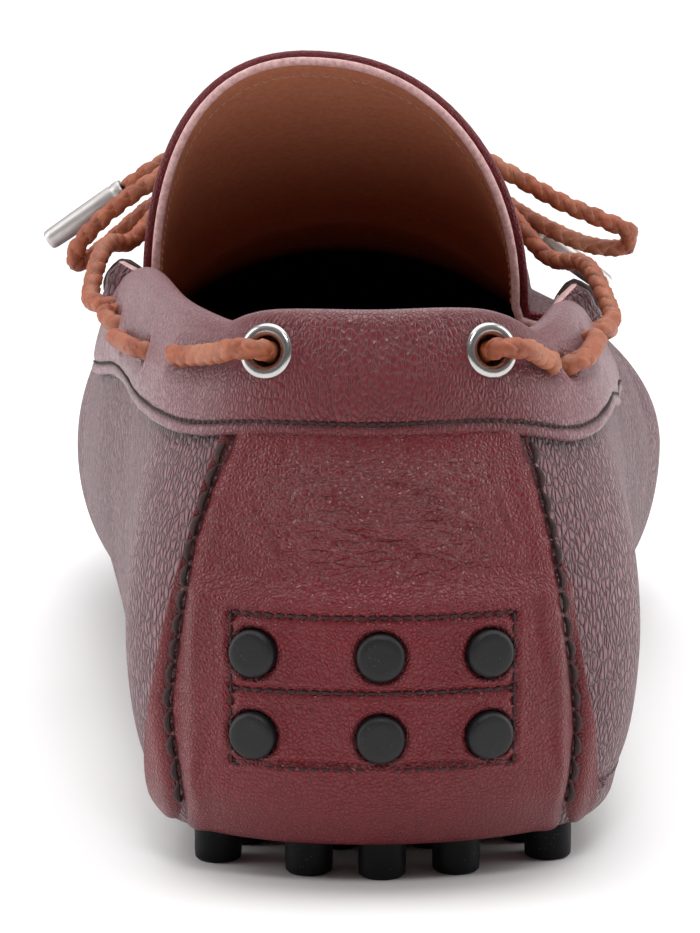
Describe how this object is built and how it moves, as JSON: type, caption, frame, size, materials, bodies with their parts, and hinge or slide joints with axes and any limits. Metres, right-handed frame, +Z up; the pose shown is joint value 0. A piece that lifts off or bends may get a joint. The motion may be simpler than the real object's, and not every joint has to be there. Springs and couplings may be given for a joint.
{
  "type": "driving moccasin",
  "caption": "Low leather driving moccasin for the right foot, with an arched tongue, a lace threaded round the collar and tied in front, and rubber studs under the sole and up the heel.",
  "frame": {"origin": "on the floor, at the foot of the middle stud in the rearmost row under the heel", "axes": "+Y from the heel to the toe, +Z up, +X towards the outer side of a right foot"},
  "size_m": [0.1012, 0.2803, 0.1019],
  "materials": {
    "plum_leather": "pebbled grain, soft sheen",
    "burgundy_leather": "smooth, waxed, with fine wrinkles",
    "lining_leather": "unfinished, matt",
    "black_rubber": "moulded, matt",
    "tan_lace": "braided from four strands",
    "steel": "polished"
  },
  "bodies": {
    "root": {"apron": "plum_leather", "collar_band": "burgundy_leather", "eyelet_lateral": "steel", "eyelet_medial": "steel", "insole": "lining_leather", "lace_bar_lateral_1": "tan_lace", "lace_bar_lateral_2": "tan_lace", "lace_bar_lateral_3": "tan_lace", "lace_bar_medial_1": "tan_lace", "lace_bar_medial_2": "tan_lace", "lace_bar_medial_3": "tan_lace", "lace_end_lateral": "tan_lace", "lace_end_medial": "tan_lace", "lace_front": "tan_lace", "lace_knot": "tan_lace", "lace_loop_lateral": "tan_lace", "lace_loop_medial": "tan_lace", "lace_tip_lateral": "steel", "lace_tip_medial": "steel", "outsole": "burgundy_leather", "stud_plate_back": "black_rubber", "stud_plate_ball": "black_rubber", "stud_plate_heel": "black_rubber", "upper": "plum_leather"}
  },
  "joints": []
}
